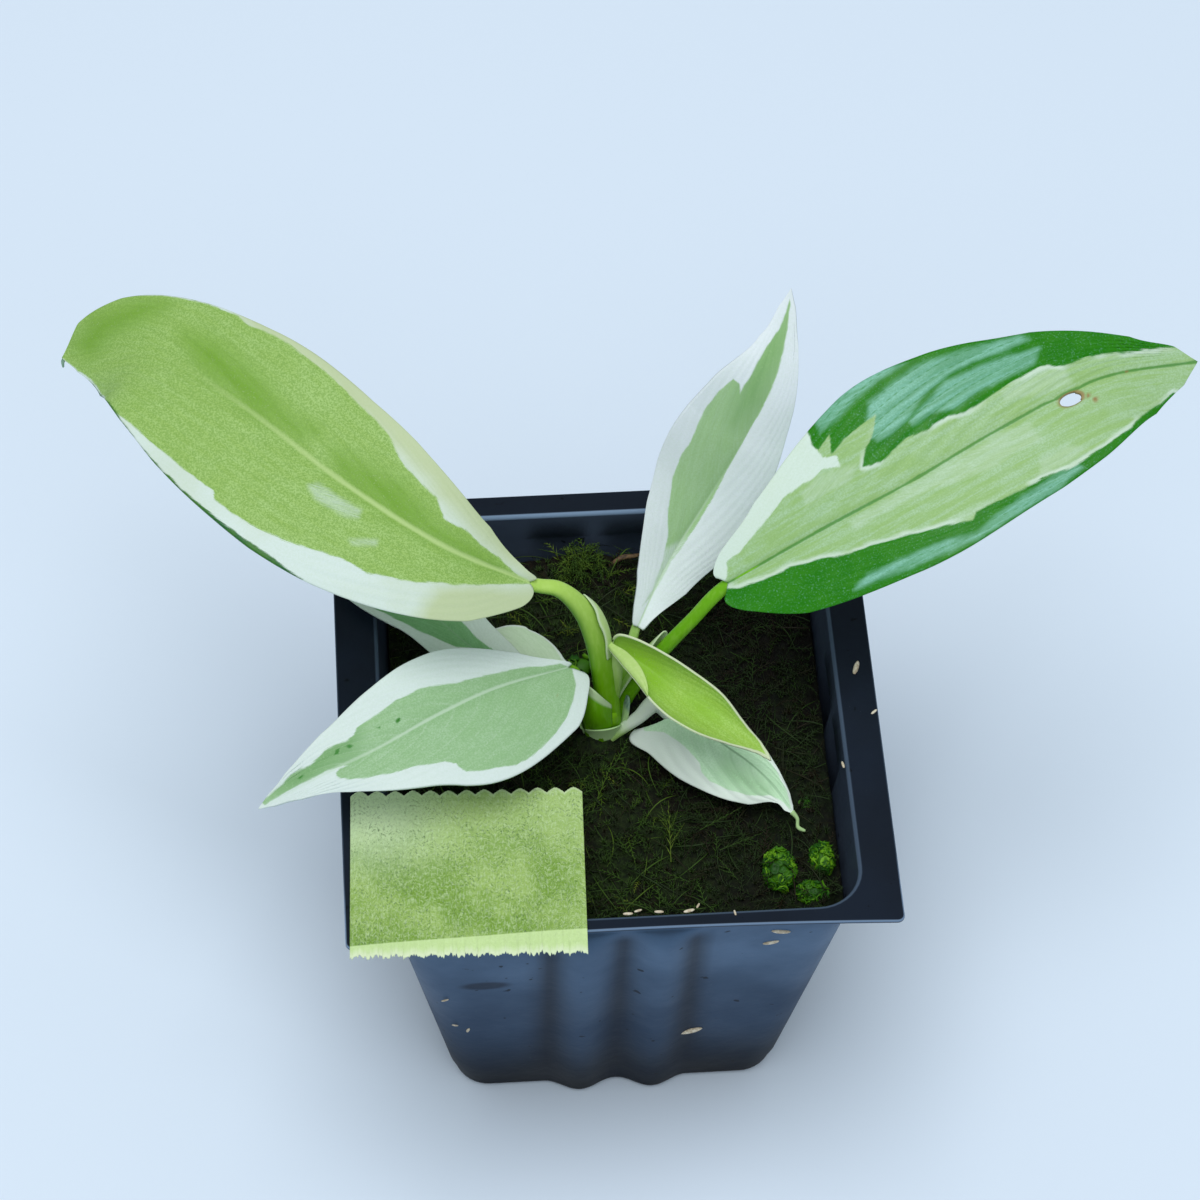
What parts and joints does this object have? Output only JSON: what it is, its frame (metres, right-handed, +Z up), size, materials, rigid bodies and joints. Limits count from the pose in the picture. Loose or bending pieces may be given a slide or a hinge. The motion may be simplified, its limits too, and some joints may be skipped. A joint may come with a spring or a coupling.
{
  "type": "potted aroid plant",
  "caption": "Young variegated aroid plant with long lobed leaves on short stalks, growing in moss in a square tapered black nursery pot with a strip of green paper tape on its rim.",
  "frame": {"origin": "middle of the pot's underside, on the surface that it stands on", "axes": "+Z up, +Y to the back of the pot as pictured, +X to its right"},
  "size_m": [0.1793, 0.1002, 0.1272],
  "materials": {
    "pot_plastic": "semi-gloss black thin formed plastic",
    "moss": "dark green and brown moss over growing medium",
    "crown": "pale green, slightly waxy",
    "leaf_left_large": "lime green with cream margins, satin",
    "leaf_right_large": "pale green streaked centre with dark green bands, satin",
    "leaf_back_upright": "white with a green stripe, satin",
    "leaf_front_left": "grey-green with white margins, satin",
    "leaf_young_rolled": "yellow-green, satin",
    "leaf_front_right": "grey-green with white margins, satin",
    "leaf_rear_left": "dark green with white margins, satin",
    "leaf_smallest": "pale grey-green with a thin white margin, satin",
    "tape_paper": "lime green fibrous paper, matte"
  },
  "bodies": {
    "root": {"pot": "pot_plastic", "growing_medium": "moss", "crown": "crown", "leaf_left_large": "leaf_left_large", "leaf_right_large": "leaf_right_large", "leaf_back_upright": "leaf_back_upright", "leaf_front_left": "leaf_front_left", "leaf_young_rolled": "leaf_young_rolled", "leaf_front_right": "leaf_front_right", "leaf_rear_left": "leaf_rear_left", "leaf_smallest": "leaf_smallest", "tape": "tape_paper"}
  },
  "joints": []
}
